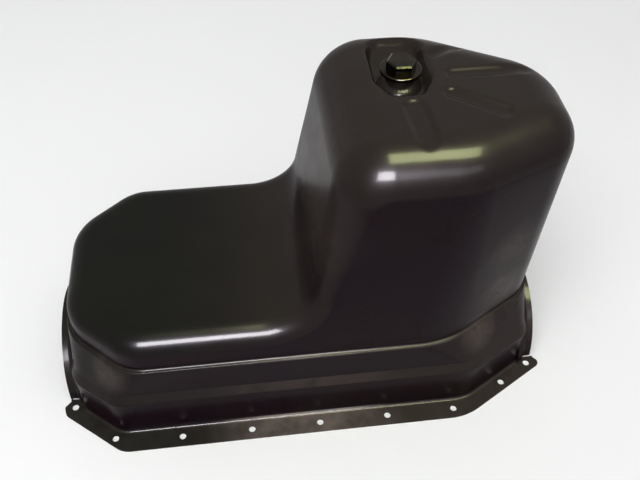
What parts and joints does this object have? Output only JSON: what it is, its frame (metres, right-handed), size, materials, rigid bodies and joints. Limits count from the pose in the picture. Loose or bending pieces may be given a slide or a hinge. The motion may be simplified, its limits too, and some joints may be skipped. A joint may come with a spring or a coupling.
{
  "type": "engine oil pan",
  "caption": "Deep drawn steel engine oil pan with a shallow tray, an offset deep sump, a bolted rail flange, arched ends, and a recessed drain plug.",
  "frame": {"origin": "centre of the four ear holes, on the joint face", "axes": "+X along the crankshaft toward the deep sump, +Y to the rail on the drain plug's side, +Z from the joint face toward the sump floor"},
  "size_m": [0.4916, 0.263, 0.3265],
  "materials": {
    "black_paint": "gloss",
    "baffle_paint": "satin",
    "boss_paint": "gloss",
    "washer_metal": "matte",
    "plated_steel": "satin"
  },
  "bodies": {
    "root": {"pan_shell": "black_paint", "sump_baffle": "baffle_paint", "drain_boss": "boss_paint", "drain_washer": "washer_metal", "drain_plug": "plated_steel"}
  },
  "joints": []
}
